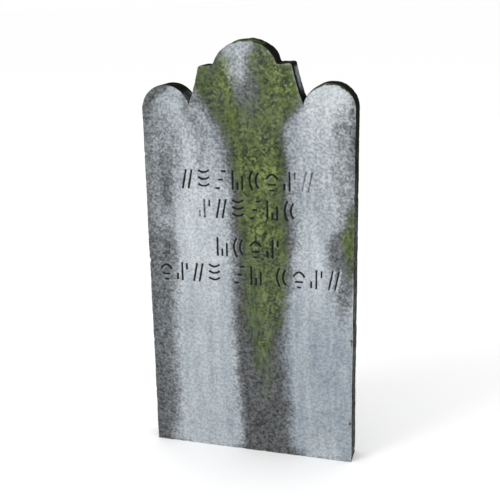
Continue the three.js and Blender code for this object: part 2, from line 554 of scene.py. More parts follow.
# Runs on the front, as the photograph shows them: height, left, right, strength
FRONT_RUNS: dict[Growth, tuple[Run, ...]] = {
    Growth.ALGAE: (
        # The dark band at the left edge
        Run((
            (745, LEFT, -174, 0.52), (690, LEFT, -170, 0.54), (640, LEFT, -138, 0.52),
            (590, LEFT, -138, 0.62), (530, LEFT, -143, 0.6), (478, LEFT, -156, 0.55),
            (430, LEFT, -142, 0.68), (330, LEFT, -140, 0.7), (290, LEFT, -148, 0.7),
            (200, LEFT, -143, 0.7), (110, LEFT, -147, 0.72), (50, LEFT, -148, 0.72),
            (0, LEFT, -160, 0.72)
        ), soft=48),
        # Its outer edge
        Run((
            (745, LEFT, -190, 0.1), (440, LEFT, -190, 0.25), (190, LEFT, -186, 0.3),
            (0, LEFT, -182, 0.55)
        ), soft=22),
        # A thin streak beside it
        Run((
            (610, -164, -144, 0), (530, -168, -142, 0.4), (470, -160, -140, 0.2),
            (400, -166, -138, 0.25), (330, -160, -144, 0)
        ), soft=14),
        # The left lobe's rim
        Run((
            (742, -165, -112, 0.55), (726, -200, -150, 0.5), (705, -200, -180, 0.5),
            (650, -210, -186, 0.2), (600, -210, -190, 0)
        ), soft=22),
        # The dark band down the middle
        Run((
            (815, -90, 90, 0.8), (735, -104, 120, 0.82), (712, -88, 116, 0.84), (695, -80, 104, 0.86),
            (680, -70, 92, 0.88), (640, -44, 84, 0.9), (600, -41, 79, 0.94), (530, -34, 84, 0.94),
            (458, -32, 92, 0.96), (400, -28, 88, 0.96), (345, -31, 86, 0.97), (290, -30, 74, 0.98),
            (230, -28, 72, 0.98), (170, -28, 76, 0.97), (110, -22, 82, 0.97), (50, -17, 82, 0.97),
            (0, -16, 84, 1)
        ), soft=46, soft_right=54),
        # Thin growth to the left of the moss
        Run((
            (730, -112, -50, 0.3), (690, -126, -50, 0.34), (640, -98, -36, 0.42), (560, -98, -40, 0.3),
            (420, -60, -36, 0.14), (360, -50, -30, 0)
        ), soft=34),
        # Specks at the upper left
        Run((
            (735, -210, -90, 0.34), (640, -150, -84, 0.28), (560, -150, -90, 0.2),
            (460, -150, -90, 0.08), (380, -150, -90, 0)
        ), soft=40),
        # Specks at the upper right
        Run((
            (700, 90, 150, 0.18), (640, 90, 215, 0.26), (560, 85, 215, 0.3), (470, 85, 160, 0.18),
            (400, 90, 150, 0.12), (320, 90, 215, 0.05), (0, 90, 215, 0.03)
        ), soft=40),
        # A smear on the right lobe
        Run((
            (725, 160, 190, 0), (690, 164, 192, 0.36), (655, 162, 192, 0.44), (610, 166, 190, 0.26),
            (560, 170, 190, 0.38), (520, 172, 190, 0.24), (480, 172, 190, 0)
        ), soft=24),
        # A smear round the moss at the right edge
        Run((
            (545, 180, 215, 0), (500, 172, 215, 0.4), (470, 168, 215, 0.6), (440, 156, 215, 0.7),
            (400, 150, 215, 0.76), (370, 164, 206, 0.6), (330, 168, 200, 0.6), (290, 174, 194, 0.36),
            (250, 180, 194, 0)
        ), soft=28),
        # The right edge
        Run((
            (722, 190, 215, 0.4), (690, 190, 215, 0.6), (640, 188, 215, 0.6), (560, 192, 215, 0.4),
            (470, 192, 215, 0.45), (330, 192, 215, 0.3), (290, 196, 215, 0)
        ), soft=14),
        # Soil along the foot
        Run(((14, LEFT, RIGHT, 0), (5, LEFT, RIGHT, 0.2), (0, LEFT, RIGHT, 0.3))),
        # The wet foot of the middle band
        Run((
            (60, 10, 56, 0), (24, 6, 64, 0.4), (12, 0, 84, 0.5), (0, -6, 100, 0.7)
        ), soft=44, ragged=14),
    ),
    Growth.MOSS: (
        # The column from the crown down the middle
        Run((
            (813, 16, 74, 0.48), (790, 2, 84, 0.56), (765, 6, 116, 0.68), (730, 22, 118, 0.72),
            (705, 0, 112, 0.66), (680, -46, 88, 0.64), (640, -32, 74, 0.66), (600, -28, 76, 0.74),
            (530, -20, 74, 0.7), (458, -18, 78, 0.74), (400, -10, 82, 0.62), (345, -12, 80, 0.66),
            (310, -14, 78, 0.64), (280, -12, 76, 0.58), (255, -6, 60, 0.54), (230, 4, 56, 0.66),
            (200, 6, 54, 0.54), (170, 8, 54, 0.42), (135, 14, 52, 0.34), (110, 16, 50, 0.22),
            (80, 20, 48, 0)
        ), soft=34),
        # The crown's left side
        Run((
            (800, -64, -36, 0.4), (782, -72, -18, 0.6), (765, -112, -18, 0.6), (735, -106, -18, 0.72),
            (712, -82, -14, 0.6), (690, -70, -6, 0.6), (660, -52, -8, 0.4), (620, -44, -16, 0)
        ), soft=30),
        # The patch at the right edge
        Run((
            (530, 190, 215, 0), (505, 184, 215, 0.55), (462, 178, 215, 0.7), (430, 180, 215, 0.7),
            (405, 182, 215, 0.55), (372, 188, 210, 0.4), (345, 190, 205, 0)
        ), soft=24),
        # Scattered tufts on the crown
        Run((
            (800, -30, 26, 0.1), (770, -44, 24, 0.42), (740, -44, 20, 0.52), (715, -34, 16, 0.44),
            (690, -30, 10, 0.2)
        ), soft=20),
    ),
    Growth.LIME: (
        # Tips down the column
        Run((
            (812, 20, 70, 0.4), (772, 44, 108, 0.8), (725, 48, 108, 0.65), (680, 0, 70, 0.4),
            (600, -14, 60, 0.6), (520, 0, 60, 0.5), (458, 5, 50, 0.8), (400, 10, 80, 0.5),
            (340, 30, 90, 0.7), (290, 20, 60, 0.4), (230, 20, 40, 0.7), (180, 20, 40, 0.2),
            (120, 20, 40, 0)
        )),
        # Tips on the left of the crown
        Run(((790, -50, 30, 0.5), (770, -50, 30, 0.9), (735, -60, 20, 0.9), (690, -60, -10, 0.3))),
        # Flecks on the right of the crown
        Run(((804, 12, 70, 0), (788, 10, 72, 1), (772, 8, 72, 0.9), (752, 10, 60, 0)), soft=12),
        # Tips at the right edge
        Run(((480, 186, 215, 0.4), (400, 186, 215, 0.3))),
        # The lowest of them
        Run(((396, 180, 200, 0), (384, 184, 200, 0.9), (372, 184, 200, 0)), soft=8),
    ),
    Growth.BLEACH: (
        # The stone left of the middle
        Run((
            (813, LEFT, 30, 0.55), (600, LEFT, 30, 0.55), (380, LEFT, 30, 0.55), (200, LEFT, 30, 0.48),
            (0, LEFT, 30, 0.46)
        ), soft=60),
        # The stone right of the middle
        Run((
            (813, 60, RIGHT, 0.5), (640, 60, RIGHT, 0.48), (420, 60, RIGHT, 0.42),
            (330, 60, RIGHT, 0.36), (240, 60, RIGHT, 0.22), (0, 60, RIGHT, 0.2)
        ), soft=60),
        # The pale flecks of the crown
        Run(((802, 14, 74, 0), (787, 14, 80, 0.6), (770, 16, 84, 0.4), (750, 30, 80, 0)), soft=16),
        # The right lobe
        Run((
            (740, 100, 200, 1), (700, 108, 205, 0.95), (670, 115, 195, 0.7), (620, 130, 190, 0.4),
            (500, 150, 200, 0.2), (440, 150, 200, 0)
        ), soft=22),
        # A pale stretch at the left
        Run((
            (640, -128, -92, 0.24), (560, -130, -86, 0.34), (478, -134, -62, 0.5),
            (400, -134, -58, 0.54), (350, -126, -66, 0.2), (300, -126, -60, 0)
        ), soft=30),
        # A pale stretch at the right
        Run((
            (520, 92, 140, 0), (470, 94, 140, 0.3), (420, 98, 150, 0.55), (370, 100, 160, 0.45),
            (310, 100, 150, 0.1), (260, 100, 150, 0)
        ), soft=24),
        # The foot at the right
        Run(((70, 110, 170, 0), (30, 108, 176, 0.35), (0, 110, 180, 0.45)), soft=30),
        # A pale line beside the dark band
        Run((
            (330, 100, 118, 0), (270, 102, 120, 0.3), (120, 106, 124, 0.3), (40, 110, 124, 0)
        ), soft=18, ragged=5),
        # The foot at the left
        Run(((45, -120, -40, 0), (15, -130, -40, 0.25), (0, -130, -40, 0.3)), soft=30),
    ),
    Growth.RUST: (
        # Spots above
        Run((
            (264, 195, 215, 0), (255, 197, 215, 0.8), (244, 200, 215, 0.6), (235, 201, 215, 0)
        ), soft=4, ragged=1.5),
        # Spots near the foot
        Run(((94, 196, 215, 0), (83, 198, 215, 0.8), (69, 200, 215, 0)), soft=4, ragged=1.5),
    ),
}

# Runs on the back, which the photograph does not show, in keeping with the front
BACK_RUNS: dict[Growth, tuple[Run, ...]] = {
    Growth.ALGAE: (
        Run((
            (813, -110, 110, 0.9), (700, -130, 110, 0.85), (560, -70, 100, 0.62), (430, -40, 66, 0.45),
            (260, -66, 40, 0.5), (0, -84, 66, 0.78)
        ), soft=54, ragged=14),
        Run((
            (745, LEFT, -150, 0.8), (600, LEFT, -172, 0.6), (300, LEFT, -136, 0.62),
            (0, LEFT, -150, 0.72)
        ), soft=44, ragged=12),
        Run((
            (745, 166, RIGHT, 0.75), (540, 150, RIGHT, 0.5), (240, 172, RIGHT, 0.66),
            (0, 144, RIGHT, 0.7)
        ), soft=40, ragged=12),
        Run(((745, -150, 150, 0.22), (400, -150, 150, 0.12), (0, -150, 150, 0.2)), soft=40),
        Run((
            (640, 96, 118, 0), (560, 98, 124, 0.4), (420, 104, 120, 0.3), (330, 106, 116, 0)
        ), soft=22, ragged=9),
        Run(((110, LEFT, RIGHT, 0), (0, LEFT, RIGHT, 0.7)), soft=30, ragged=14),
    ),
    Growth.MOSS: (
        Run((
            (813, -80, 80, 0.7), (730, -100, 90, 0.66), (670, -60, 74, 0.6), (600, -20, 56, 0.5),
            (500, 6, 40, 0.34), (420, 14, 30, 0)
        ), soft=40, ragged=14),
        Run(((60, LEFT, RIGHT, 0), (0, LEFT, RIGHT, 0.45)), soft=30),
    ),
    Growth.LIME: (
        Run(((813, -60, 60, 0.3), (640, -30, 50, 0.3), (480, -20, 40, 0)), soft=40),
    ),
    Growth.BLEACH: (
        Run(((813, LEFT, RIGHT, 0.3), (0, LEFT, RIGHT, 0.3)), soft=40),
        Run(((700, 60, 150, 0), (600, 76, 150, 0.2), (200, 60, 130, 0.34), (90, 70, 150, 0)), soft=50),
        Run((
            (690, -160, -90, 0), (560, -150, -76, 0.3), (320, -140, -60, 0.36), (150, -150, -80, 0)
        ), soft=50),
    ),
}


@dataclass(frozen=True)
class Weathering:
    """The runs on each face by kind of growth, and those that clear the crown or wear the strokes.

    From the density mossy_from on, the front is modelled in finer triangles.
    """

    front: dict[Growth, tuple[Run, ...]] = field(default_factory=FRONT_RUNS.copy)
    back: dict[Growth, tuple[Run, ...]] = field(default_factory=BACK_RUNS.copy)
    clear_patch: Run = Run((
        (818, -52, 12, 0.68), (795, -44, 10, 0.66), (775, -40, 10, 0.68), (755, -36, 8, 0.72),
        (738, -34, 6, 0.4), (720, -28, 8, 0.16), (690, -20, 12, 0)
    ), soft=28, soft_right=40)
    grey_streak: Run = Run((
        (815, 2, 30, 0), (790, 2, 28, 0.15), (765, -4, 28, 0.5), (748, -8, 30, 0.7),
        (715, -20, 30, 0.8), (690, -14, 24, 0.5), (650, -4, 12, 0)
    ), soft=20)
    worn_strokes: tuple[Run, ...] = (
        Run(((585, 90, 140, 0.36), (530, 90, 140, 0.36)), soft=30),
        Run(((528, -120, -74, 0.4), (478, -120, -74, 0.3)), soft=30),
    )
    mossy_from: float = 0.12

    @staticmethod
    def gather(runs: tuple[Run, ...], places: np.ndarray, drift: np.ndarray) -> np.ndarray:
        """Join the densities of several runs.

        Args:
            runs: The runs.
            places: Rows of across and up on the face.
            drift: Smooth noise at the same places.

        Returns:
            Joined densities from 0 to 1.
        """
        bare = np.ones(len(places))
        for one in runs:
            bare *= 1.0 - one.density(places, drift)
        return 1.0 - bare

    def mossy(self, places: np.ndarray) -> np.ndarray:
        """Tell which places of the front carry moss, without its ragged edges."""
        return self.gather(self.front[Growth.MOSS], places, np.zeros(len(places))) > self.mossy_from


@dataclass
class Skin:
    """The slab's surface before relief: its points, how each lies, and what covers it.

    Turn goes from the front face (-1) past the side (0) to the back face (1), and
    rise from the notches (0) to the shoulders (1). Where a growth or a wear fades
    over heights or across, a pair gives where it begins and where it is full.
    Growths and wear are shares from 0 to 1.
    """

    sizes: Sizes
    weathering: Weathering
    points: np.ndarray
    outward: np.ndarray
    turn: np.ndarray
    crown_algae_lost: float = 0.88
    crown_moss_lost: float = 0.62
    crown_bleach: float = 0.85
    side_algae: float = 0.55
    side_crust: float = 0.68
    soot_heights: tuple[float, float] = (430.0, 600.0)
    black_heights: tuple[float, float] = (520.0, 735.0)
    flare_crust: float = 0.95
    flare_cleared: float = 0.85
    grey_notch: float = 0.5
    grey_notch_heights: tuple[float, float] = (728.0, 712.0)
    grey_notch_across: tuple[float, float] = (-128.0, -116.0)
    handled_heights: tuple[float, float] = (400.0, 330.0)
    most_rubbed: float = 0.95
    arris_moss: float = 0.62
    lobe_line: tuple[float, float, float] = (0.88, 0.95, 1.05)
    clean_lip_across: tuple[float, float] = (90.0, 130.0)
    clean_lip_heights: tuple[float, float] = (400.0, 390.0)
    depth_kept: float = 0.86
    least_depth_kept: float = 0.15
    sinking: float = 0.35
    tuft_height: float = 0.9
    cushion_height: float = 5.2
    foot_bite: tuple[float, float] = (2.4, 3.0)

    def __post_init__(self) -> None:
        """Read the noise and the shares that several coverings need, and cover the skin."""
        s = self.sizes
        self.places = self.points[:, [0, 2]]
        self.across, self.height = self.places.T
        self.depth_share = self.points[:, 1] / s.thickness
        self.rise = (self.height - s.spring_height - s.notch_rise) / (s.shoulder_rise - s.notch_rise)
        self.drift = wander(self.points, 55.0, 1.7) + 0.6 * wander(self.points, 17.0, 4.2)
        self.blotch = wander(self.points, 26.0, 9.1)
        self.patchy = np.clip(0.8 + 0.5 * self.blotch, 0.0, 1.0)
        self.front_share = smooth_step(0.15, 0.85, -self.turn)
        self.back_share = smooth_step(0.15, 0.85, self.turn)
        self.side_share = 1.0 - self.front_share - self.back_share
        self.arris = smooth_step(0.1, 0.45, -self.turn) * smooth_step(1.0, 0.8, -self.turn)
        self.upward = smooth_step(0.15, 0.6, self.outward[:, 2])
        self.cover: dict[Growth, np.ndarray] = {}
        self._cover_faces()
        self._clear_crown()
        self._cover_sides()
        self._rub_arris()
        self._green_arris()
        self._soot_lobes()

    def _thin(self, kinds: tuple[Growth, ...], share: np.ndarray) -> None:
        """Take away a share of some growths."""
        for kind in kinds:
            self.cover[kind] = self.cover[kind] * (1.0 - share)

    def _at_least(self, kind: Growth, density: np.ndarray) -> None:
        """Raise one growth to a density where it is lower."""
        self.cover[kind] = np.maximum(self.cover[kind], density)

    def _cover_faces(self) -> None:
        """Lay the runs of both faces."""
        gather = self.weathering.gather
        for kind in Growth:
            front = gather(self.weathering.front.get(kind, ()), self.places, self.drift)
            back = gather(self.weathering.back.get(kind, ()), self.places, self.drift)
            self.cover[kind] = front * self.front_share + back * self.back_share

    def _clear_crown(self) -> None:
        """Bare the crown's whitish patch, and thin the moss on its grey streak."""
        clear = self.weathering.clear_patch.density(self.places, self.drift) * self.front_share
        greyed = self.weathering.grey_streak.density(self.places, self.drift) * self.front_share
        self._thin((Growth.ALGAE,), self.crown_algae_lost * clear)
        self._thin((Growth.MOSS,), self.crown_moss_lost * clear)
        self._thin((Growth.MOSS,), self.crown_moss_lost * greyed)
        self._at_least(Growth.BLEACH, clear * self.crown_bleach)

    def _cover_sides(self) -> None:
        """Blacken the sides and tops, keep the flares paler, and moss the level tops."""
        s = self.sizes
        sooty = smooth_step(*self.soot_heights, self.height)
        sooty = sooty + 1.2 * smooth_step(*self.black_heights, self.height)
        crust = self.side_crust + 0.18 * sooty + 0.12 * self.blotch + 0.1 * self.drift
        inner = np.abs(self.across) < s.half_width - 1.9 * s.lobe_radius
        flare = inner & (self.rise > 0.0) & (self.rise < 0.97)
        pale = flare * smooth_step(0.12, 0.34, self.rise) * smooth_step(1.0, 0.85, self.rise)
        pale *= smooth_step(-0.26, -0.04, self.depth_share) * self.patchy
        crust = np.maximum(np.clip(crust, 0.0, 1.0), self.flare_crust * flare)
        crust *= 1.0 - self.flare_cleared * pale * (1.0 - self.upward)
        notch = smooth_step(*self.grey_notch_heights, self.height)
        notch *= smooth_step(*self.grey_notch_across, self.across)
        greyer = self.grey_notch * notch * (self.across < 0.0) * (self.rise < 0.6)
        self.cover[Growth.ALGAE] += self.side_algae * self.side_share
        self._thin((Growth.ALGAE,), self.flare_cleared * pale * self.side_share)
        self.cover[Growth.CRUST] = np.maximum(crust, self.upward) * (1.0 - greyer) * self.side_share
        high = smooth_step(-6.0, 4.0, self.height - s.shoulder_height)
        level = smooth_step(0.78, 0.98, self.outward[:, 2])
        moss = np.clip((0.1 + 0.3 * high) * level * (1.0 + self.blotch), 0.0, 1.0)
        self.cover[Growth.MOSS] += moss * self.side_share

    def _rub_arris(self) -> None:
        """Rub the front arris clean, and pale where it is low enough to be handled."""
        low = smooth_step(*self.handled_heights, self.height)
        share = np.clip(0.12 + 0.75 * low + 0.4 * wander(self.points, 19.0, 6.4), 0.0, self.most_rubbed)
        rubbed = self.arris * (1.0 - self.upward) * share
        self._thin((Growth.ALGAE, Growth.CRUST, Growth.MOSS), rubbed)
        self._at_least(Growth.BLEACH, 0.75 * rubbed * low)

    def _green_arris(self) -> None:
        """Green the front arris on the right flare, the right shoulder and the crown."""
        green = self.arris * smooth_step(0.12, 0.3, self.rise) * smooth_step(15.0, 45.0, self.across)
        green *= np.clip(0.75 + 0.6 * self.blotch, 0.0, 1.0)
        self._thin((Growth.ALGAE, Growth.CRUST), 0.8 * green)
        self._thin((Growth.MOSS,), green)
        self.cover[Growth.MOSS] += self.arris_moss * green
        self._at_least(Growth.LIME, green)
        self._at_least(Growth.BLEACH, 0.7 * green)
        crown = smooth_step(10.0, 24.0, self.height - self.sizes.shoulder_height)
        lip = self.arris * crown * smooth_step(-34.0, -14.0, self.across)
        self._at_least(Growth.MOSS, 0.75 * lip)
        self._at_least(Growth.LIME, lip)

    def _soot_lobes(self) -> None:
        """Paint shade along the arris over both lobes, and a line of painted shade inside the right
        one's rim, both laid as crust.
        """
        s = self.sizes
        above = self.height - s.spring_height
        top = self.arris * self.upward * smooth_step(4.0, -4.0, above - s.lobe_radius)
        start, full, end = self.lobe_line
        reach = np.hypot(self.across - s.half_width + s.lobe_radius, above) / s.lobe_radius
        line = smooth_step(start, full, reach) * smooth_step(0.35, 0.8, above / s.lobe_radius)
        line *= (reach < end) * self.front_share * self.patchy
        # Painted shade of the rounded arris, laid as crust
        self._at_least(Growth.CRUST, np.maximum(0.95 * top, 0.8 * line))

    def dirty_cuts(self, share: np.ndarray, lip: np.ndarray) -> np.ndarray:
        """Put dirt and painted shade in the grooves, and paint a highlight on their lower lips.

        Args:
            share: Share of a groove's depth at each point.
            lip: Share of a lower lip at each point.

        Returns:
            How much of its depth a groove has kept at each point.
        """
        loss = self.weathering.gather(self.weathering.worn_strokes, self.places, np.zeros(len(share)))
        patchy = 0.14 * wander(self.points, 30.0, 2.2) + 0.1 * wander(self.points, 9.0, 6.1)
        kept = self.depth_kept + patchy - loss - 0.08 * self.cover[Growth.MOSS]
        kept = np.clip(kept, self.least_depth_kept, 1.0)
        # The lower lips are painted paler as a highlight, with less dirt, shade and growth, most at the
        # right
        clean = smooth_step(*self.clean_lip_across, self.across)
        clean *= smooth_step(*self.clean_lip_heights, self.height)
        lip = lip * (0.4 + 0.5 * clean)
        # The grooves are darkened by dirt and by painted shade, except on the lower lips
        self.cover[Growth.CUT] = np.minimum(share * 2.2, 1.0) * np.minimum(kept * 1.2, 1.0) * (1.0 - lip)
        self._at_least(Growth.BLEACH, lip)
        self._thin((Growth.ALGAE,), 0.7 * lip)
        self._thin((Growth.MOSS,), 0.5 * lip)
        return kept

    def relief(self, on_foot: np.ndarray, front_ring: np.ndarray) -> np.ndarray:
        """Raise and sink the surface: slow unevenness, worn grain, moss, and a ragged foot.

        Args:
            on_foot: True for points of the edge strip along the foot.
            front_ring: True for those in its first ring, on the front face.

        Returns:
            The moved points.
        """
        points = self.points
        slow = 0.45 * wander(points, 160.0, 0.4) + 0.22 * wander(points, 42.0, 7.7)
        grain = 0.13 * wander(points, 11.0, 2.9) + 0.1 * wander(points, 4.5, 6.6)
        tufts = 0.25 + 0.8 * wander(points, 7.5, 3.3) + 0.45 * wander(points, 3.6, 5.2)
        lift = self.cover[Growth.MOSS] * np.clip(tufts, -0.1, 1.2) * self.tuft_height + self._cushions()
        worn = slow - self.sinking + grain
        amount = np.where(on_foot, 0.0, worn + lift)
        amount[front_ring] = worn[front_ring]
        ways = self.outward.copy()
        ways[front_ring] = [0.0, -1.0, 0.0]
        moved = points + ways * amount[:, None]
        foot_lip = on_foot & (self.depth_share < -0.4)
        ragged = np.clip(wander(points, 16.0, 8.8) + 0.8 * wander(points, 6.0, 2.6) - 0.1, 0.0, 1.0)
        moved[foot_lip, 1] += self.foot_bite[0] * ragged[foot_lip]
        moved[front_ring, 2] += self.foot_bite[1] * ragged[front_ring]
        return moved

    def _cushions(self) -> np.ndarray:
        """Raise the moss cushions on the crown and the right shoulder.

        Returns:
            How far each point is raised.
        """
        on_top = smooth_step(-6.0, 2.0, self.height - self.sizes.shoulder_height)
        on_top *= smooth_step(0.35, 0.8, self.outward[:, 2]) * smooth_step(-72.0, -40.0, self.across)
        clumps = np.clip(0.66 + 0.5 * wander(self.points, 17.0, 7.3), 0.0, 1.2)
        rearward = 0.4 + 0.6 * smooth_step(-0.3, 0.45, self.depth_share)
        return on_top * rearward * clumps * self.cushion_height


@dataclass
class Tablet:
    """The slab: one closed mesh with its wear, relief and densities.

    Each face has a loose grid of points inside the outermost ring of the edge strip.
    A jitter is a share of the grid's spacing, and a gap keeps the grid clear of the
    ring or of a groove.
    """

    sizes: Sizes
    inscription: Inscription
    weathering: Weathering
    coarse: float = 3.7
    fine: float = 2.15
    front_jitter: float = 0.16
    front_gap: float = 1.5
    back_spacing: float = 5.6
    back_jitter: float = 0.2
    back_gap: float = 2.2
    groove_gap: float = 1.0
    groove_steps: int = 24
    merge_gap: float = 1e-5
    arris_steps: int = 4
    side_steps: int = 15
    seed: int = 11
    chip_count: int = 60
    chip_radius: tuple[float, float] = (3.0, 7.5)
    chip_depth: tuple[float, float] = (0.5, 1.7)
    foot_chip: float = 1.3

    def build(self) -> bpy.types.Object:
        """Model the slab and keep its densities on the mesh.

        Returns:
            The slab's object.
        """
        outline = Outline(self.sizes)
        strip, strip_out, strip_turn = self._strip(outline)
        ring_size = len(outline.points)
        rows = len(strip) // ring_size
        face_points, front_faces = self._front(strip[:ring_size, [0, 2]])
        back_inner, back_faces = self._back(strip[-ring_size:, [0, 2]])
        front_inner = on_face(face_points.places, self.sizes.front)

        # The strip's points come first, then the front's inner ones, then the back's
        front_start = len(strip)
        back_start = front_start + len(front_inner)
        points = np.concatenate([strip, front_inner, back_inner])
        outward = np.zeros(points.shape)
        turn = np.ones(len(points))
        outward[:front_start], turn[:front_start] = strip_out, strip_turn
        turn[front_start:back_start] = -1.0
        outward[front_start:, 1] = turn[front_start:]
        faces = self._strip_faces(ring_size, rows)
        faces += self._renumber(front_faces, ring_size, 0, front_start)
        faces += self._renumber(back_faces[:, ::-1], ring_size, (rows - 1) * ring_size, back_start)

        # Wear, growth, the cut strokes, and dirt with painted shade and highlights in them
        depth, share, lip = np.zeros((3, len(points)))
        cuts = slice(front_start, back_start)
        depth[cuts], share[cuts], lip[cuts] = face_points.depths, face_points.shares, face_points.lips
        on_foot = np.zeros(len(points), bool)
        on_foot[:front_start] = np.tile(outline.grounded, rows)
        skin = Skin(self.sizes, self.weathering, points, outward, turn)
        kept = skin.dirty_cuts(share, lip)
        points = skin.relief(on_foot, on_foot & (np.arange(len(points)) < ring_size))
        points[:, 1] += depth * kept
        points = self._chip(points, outline)

        # The foot stays flat on the ground
        points[on_foot & (np.abs(turn) < 1.0), 2] = 0.0
        points[:, 2] = np.maximum(points[:, 2], 0.0)
        return self._object(points, faces, skin.cover)

    def _strip(self, outline: Outline) -> tuple[np.ndarray, np.ndarray, np.ndarray]:
        """Lay rings of points round the slab's edge, from the front face to the back.

        Args:
            outline: The slab's outline.

        Returns:
            The points, the way each faces, and how far it has turned from the
            front (-1) past the side (0) to the back (1).
        """
        s = self.sizes
        quarter = np.linspace(0.0, math.pi / 2, self.arris_steps + 1)
        flat = np.linspace(0.0, 1.0, self.side_steps + 1)[1:-1]
        outward = outline.outward / np.linalg.norm(outline.outward, axis=1)[:, None]
        outward[outline.grounded] = [0.0, -1.0]
        reach = np.where(outline.grounded, s.foot_round, s.arris_round)
        points, ways, turns = [], [], []
        for side, angles in ((-1.0, quarter), (0.0, flat), (1.0, quarter[::-1])):
            for value in angles:
                if side == 0.0:
                    inset, lean = 0.0, 0.0
                    y = s.front + reach + value * (s.thickness - 2 * reach)
                else:
                    inset, lean = 1.0 - math.sin(value), side * math.cos(value)
                    y = side * (s.thickness / 2 - reach * (1.0 - math.cos(value)))
                ring = outline.inset(s.arris_round * inset, s.foot_round * inset)
                points.append(np.column_stack([ring[:, 0], y, ring[:, 1]]))
                ways.append(on_face(outward * math.sqrt(1.0 - lean * lean), lean))
                turns.append(np.full(len(ring), lean))
        return np.concatenate(points), np.concatenate(ways), np.concatenate(turns)

    @staticmethod
    def _strip_faces(ring_size: int, rows: int) -> Faces:
        """Join neighbouring rings with quads.

        Args:
            ring_size: Points in a ring.
            rows: Number of rings.

        Returns:
            The quads, facing out.
        """
        made = []
        for near in range(0, (rows - 1) * ring_size, ring_size):
            far = near + ring_size
            for here in range(ring_size):
                ahead = (here + 1) % ring_size
                made.append((near + here, far + here, far + ahead, near + ahead))
        return made

    @staticmethod
    def _renumber(faces: np.ndarray, ring_size: int, ring_start: int, inner_start: int) -> Faces:
        """Renumber a face's triangles for the whole mesh.

        Args:
            faces: Triangles over the ring's points and then the inner ones.
            ring_size: Points in the ring.
            ring_start: Where the ring starts in the mesh.
            inner_start: Where the inner points start in the mesh.

        Returns:
            The triangles.
        """
        moved = np.where(faces < ring_size, faces + ring_start, faces - ring_size + inner_start)
        return [tuple(row) for row in moved.tolist()]

    def _triangulate(self, ring: np.ndarray, inner: np.ndarray) -> np.ndarray:
        """Triangulate the points of a face inside its ring.

        Args:
            ring: Across and up of the ring's points, in order.
            inner: Across and up of the points inside it.

        Returns:
            Triangles that number the ring's points first.
        """
        flat = [Vector(row) for row in np.concatenate([ring, inner]).tolist()]
        count = len(ring)
        loop = [(here, (here + 1) % count) for here in range(count)]
        inside_loop = 1
        made = geometry.delaunay_2d_cdt(flat, loop, [], inside_loop, self.merge_gap, True)
        spots, _, faces, sources, _, _ = made
        corners = np.array(faces)
        middles = np.array([tuple(spot) for spot in spots])[corners].mean(axis=1)
        first = np.array([source[0] for source in sources])
        return first[corners[self._inside(ring, middles, 0.0)]]

    def _hexagonal(self, spacing: float, jitter: float) -> np.ndarray:
        """Cover the face with a loose triangular grid.

        Args:
            spacing: Distance between points.
            jitter: How far points stray, as a share of the spacing.

        Returns:
            Across and up of the points.
        """
        s = self.sizes
        rise = spacing * math.sqrt(3) / 2
        up = np.arange(rise / 2, s.height, rise)
        x, z = np.meshgrid(np.arange(-s.half_width, s.half_width, spacing), up)
        x = x + (np.arange(len(up)) % 2)[:, None] * spacing / 2
        dice = np.random.default_rng(self.seed)
        grid = np.stack([x.ravel(), z.ravel()], 1)
        return grid + dice.uniform(-jitter, jitter, grid.shape) * spacing

    @staticmethod
    def _inside(ring: np.ndarray, places: np.ndarray, gap: float) -> np.ndarray:
        """Tell which places lie inside a ring and clear of it.

        Args:
            ring: Across and up of the ring's points, in order.
            places: Across and up of the places.
            gap: How far from the ring a place must be.

        Returns:
            True for each place that does.
        """
        crossings = np.zeros(len(places), int)
        near = np.zeros(len(places), bool)
        for (x0, z0), (x1, z1) in zip(ring, np.roll(ring, -1, axis=0)):
            spans = (places[:, 1] > z0) != (places[:, 1] > z1)
            if z1 != z0:
                crossings += spans & (places[:, 0] < x0 + (places[:, 1] - z0) * (x1 - x0) / (z1 - z0))
            near |= (np.abs(places[:, 0] - x0) < gap) & (np.abs(places[:, 1] - z0) < gap)
        return (crossings % 2 == 1) & ~near

    def _front(self, ring: np.ndarray) -> tuple[FacePoints, np.ndarray]:
        """Lay out the front face, closer where moss and strokes are.

        Args:
            ring: Across and up of the face's outermost ring.

        Returns:
            The inner points and the triangles.
        """
        bare = self._hexagonal(self.coarse, self.front_jitter)
        mossy = self._hexagonal(self.fine, self.front_jitter)
        is_mossy = self.weathering.mossy
        grid = np.concatenate([bare[~is_mossy(bare)], mossy[is_mossy(mossy)]])
        grid = grid[self._inside(ring, grid, self.front_gap)]
        keep = np.ones(len(grid), bool)
        cuts = []
        for groove in self.inscription.grooves():
            cut = self.inscription.groove_points(groove)
            cuts.append(cut)
            low = cut.places.min(0) - 2 * self.groove_gap
            high = cut.places.max(0) + 2 * self.groove_gap
            close = np.flatnonzero(keep & np.all((grid > low) & (grid < high), axis=1))
            path = groove.path(self.groove_steps)
            gaps = np.linalg.norm(grid[close][:, None] - path[None], axis=2).min(1)
            reach = groove.width / 2 * max(self.inscription.lanes) + self.groove_gap
            keep[close[gaps < reach]] = False
        inner = FacePoints.joined([FacePoints.plain(grid[keep]), *cuts])
        return inner, self._triangulate(ring, inner.places)

    def _back(self, ring: np.ndarray) -> tuple[np.ndarray, np.ndarray]:
        """Lay out the back face.

        Args:
            ring: Across and up of the face's outermost ring.

        Returns:
            The inner points and the triangles.
        """
        grid = self._hexagonal(self.back_spacing, self.back_jitter)
        grid = grid[self._inside(ring, grid, self.back_gap)]
        return on_face(grid, -self.sizes.front), self._triangulate(ring, grid)

    def _chip(self, points: np.ndarray, outline: Outline) -> np.ndarray:
        """Knock small chips off the front and back arrises, deeper ones off the foot.

        Args:
            points: The mesh's points.
            outline: The slab's outline.

        Returns:
            The points after chipping.
        """
        dice = np.random.default_rng(self.seed + 1)
        moved = points.copy()
        for number, pick in enumerate(dice.integers(0, len(outline.points), self.chip_count)):
